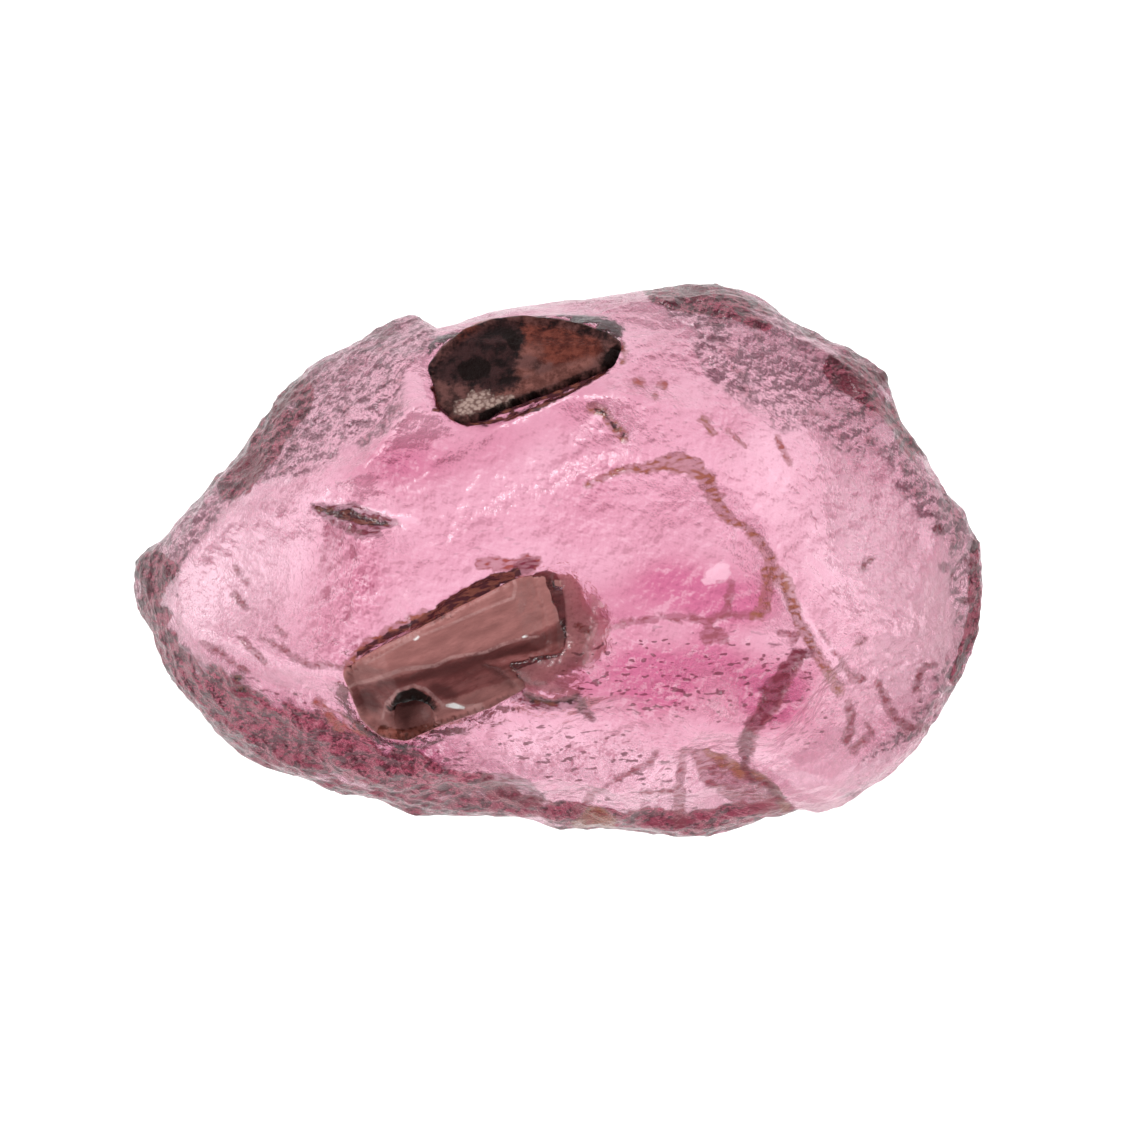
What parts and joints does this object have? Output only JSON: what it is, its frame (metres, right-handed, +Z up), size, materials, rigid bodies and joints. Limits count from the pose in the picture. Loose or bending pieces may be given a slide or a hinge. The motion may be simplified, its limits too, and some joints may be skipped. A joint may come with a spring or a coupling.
{
  "type": "rough rhodolite garnet",
  "caption": "Rough rhodolite garnet, see-through pink with a frosted grey-mauve rim, shell-like flake scars and brown included crystals open at the broken face",
  "frame": {"origin": "under the middle of the stone, on the surface that it lies on", "axes": "+X along the stone from its pointed end to its blunt end, +Y across it, +Z up through the broken face"},
  "size_m": [0.0104, 0.0067, 0.0045],
  "materials": {
    "rhodolite": "transparent, broken glassy surfaces with a frosted, pitted rim",
    "smoky_crystal": "glassy, finely striped",
    "rusty_crystal": "dull and mottled with rust"
  },
  "bodies": {
    "root": {"garnet": "rhodolite", "long_prism_crystal": "smoky_crystal", "plate_crystal": "rusty_crystal"}
  },
  "joints": []
}
